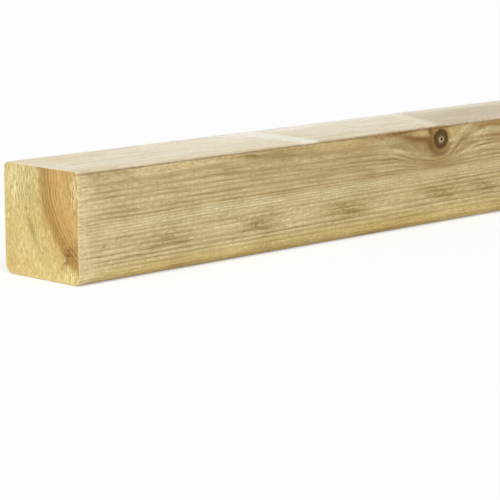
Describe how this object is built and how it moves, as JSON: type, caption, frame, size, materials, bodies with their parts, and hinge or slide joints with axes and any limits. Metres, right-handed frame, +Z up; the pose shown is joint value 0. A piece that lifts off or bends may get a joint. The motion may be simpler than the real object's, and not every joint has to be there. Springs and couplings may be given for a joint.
{
  "type": "treated timber post",
  "caption": "Square-section pressure-treated softwood post with rounded long edges and square sawn ends, for fences, gates and garden frames.",
  "frame": {"origin": "under the middle of the post, on the surface that it lies on", "axes": "+X along the length from the end shown in the picture, -Y towards the front face, +Z up"},
  "size_m": [1.8, 0.1, 0.1],
  "materials": {
    "treated_softwood": "planed softwood with a pale green-yellow pressure treatment, matt"
  },
  "bodies": {
    "root": {"post": "treated_softwood"}
  },
  "joints": []
}
